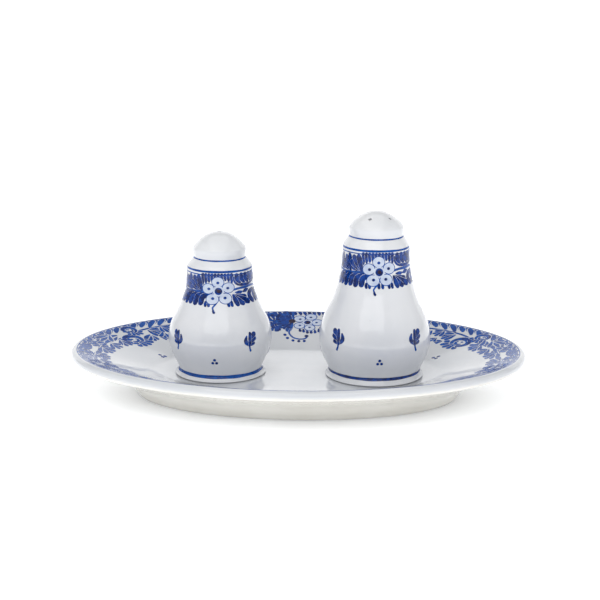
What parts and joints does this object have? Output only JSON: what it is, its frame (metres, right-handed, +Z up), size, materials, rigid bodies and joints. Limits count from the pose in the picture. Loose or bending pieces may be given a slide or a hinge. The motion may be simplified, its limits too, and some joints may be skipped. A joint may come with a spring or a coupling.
{
  "type": "cruet set",
  "caption": "Oval footed dish carrying pear-shaped salt and pepper shakers with pierced domed tops; each shaker lifts off and is refilled through a corked base.",
  "frame": {"origin": "middle of the underside of the dish's foot, on the surface that the set stands on", "axes": "+X along the dish, from the smaller salt shaker to the larger pepper shaker; +Y across the dish, away from the side where the shakers stand slightly forward; +Z up"},
  "size_m": [0.23, 0.1594, 0.0955],
  "materials": {
    "dish_glaze": "gloss",
    "shaker_glaze": "gloss",
    "cobalt_painting": "gloss",
    "cork": "matte"
  },
  "bodies": {
    "dish": {"oval_dish": "dish_glaze"},
    "salt": {"salt_shaker": "shaker_glaze"},
    "salt_cork": {"salt_stopper": "cork"},
    "pepper": {"pepper_shaker": "shaker_glaze"},
    "pepper_cork": {"pepper_stopper": "cork"}
  },
  "joints": [
    {"name": "salt_lift", "type": "slide", "parent": "dish", "child": "salt", "axis": [0, 0, 1], "range_m": [0, 0.1]},
    {"name": "pepper_lift", "type": "slide", "parent": "dish", "child": "pepper", "axis": [0, 0, 1], "range_m": [0, 0.1]},
    {"name": "salt_stopper_pull", "type": "slide", "parent": "salt", "child": "salt_cork", "axis": [0, 0, -1], "range_m": [0, 0.04]},
    {"name": "pepper_stopper_pull", "type": "slide", "parent": "pepper", "child": "pepper_cork", "axis": [0, 0, -1], "range_m": [0, 0.04]}
  ],
  "couplings": [
    {"joint": "salt_stopper_pull", "follows": "salt_lift", "ratio": 0.4},
    {"joint": "pepper_stopper_pull", "follows": "pepper_lift", "ratio": 0.4}
  ]
}
